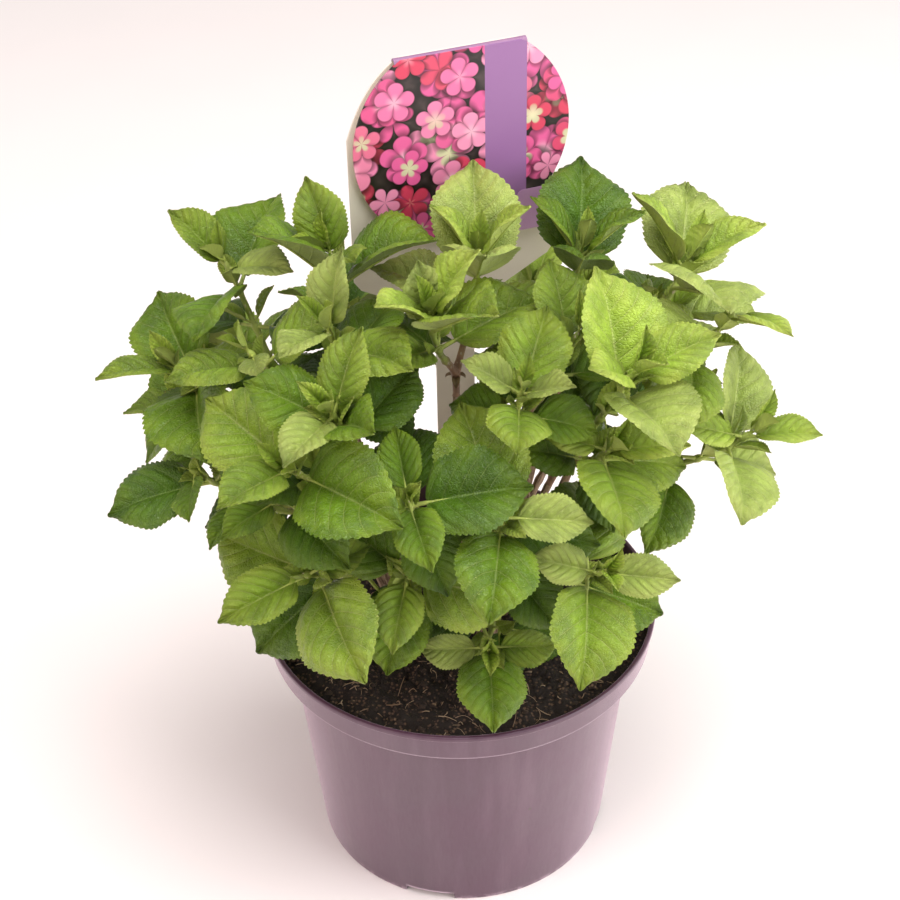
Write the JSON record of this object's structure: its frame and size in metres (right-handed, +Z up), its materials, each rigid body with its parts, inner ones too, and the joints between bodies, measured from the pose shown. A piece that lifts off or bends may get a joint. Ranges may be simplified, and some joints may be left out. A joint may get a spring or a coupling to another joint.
{
  "type": "potted hydrangea shrub",
  "caption": "Young hydrangea shrub with broad toothed leaves on woody canes, in a round nursery pot with a folded plant label on a stake.",
  "frame": {"origin": "middle of the pot's underside, on the ground", "axes": "+Z up out of the pot, -Y the front of the plant, +X to its right; the label stands behind the middle, turned 20 degrees"},
  "size_m": [0.4017, 0.3247, 0.471],
  "materials": {
    "pot_plastic": "satin",
    "peat": "matte",
    "label_card": "satin",
    "bark": "matte",
    "leaf": "satin"
  },
  "bodies": {
    "root": {"pot": "pot_plastic", "soil": "peat", "label": "label_card", "cane_01": "bark", "cane_02": "bark", "cane_03": "bark", "cane_04": "bark", "cane_05": "bark", "cane_06": "bark", "cane_07": "bark", "cane_08": "bark", "cane_09": "bark", "cane_10": "bark", "cane_11": "bark", "cane_12": "bark", "cane_13": "bark", "cane_14": "bark", "cane_15": "bark", "cane_16": "bark", "cane_17": "bark", "cane_18": "bark", "foliage_01": "leaf", "foliage_02": "leaf", "foliage_03": "leaf", "foliage_04": "leaf", "foliage_05": "leaf", "foliage_06": "leaf", "foliage_07": "leaf", "foliage_08": "leaf", "foliage_09": "leaf", "foliage_10": "leaf", "foliage_11": "leaf", "foliage_12": "leaf", "foliage_13": "leaf", "foliage_14": "leaf", "foliage_15": "leaf", "foliage_16": "leaf", "foliage_17": "leaf", "foliage_18": "leaf"}
  },
  "joints": []
}
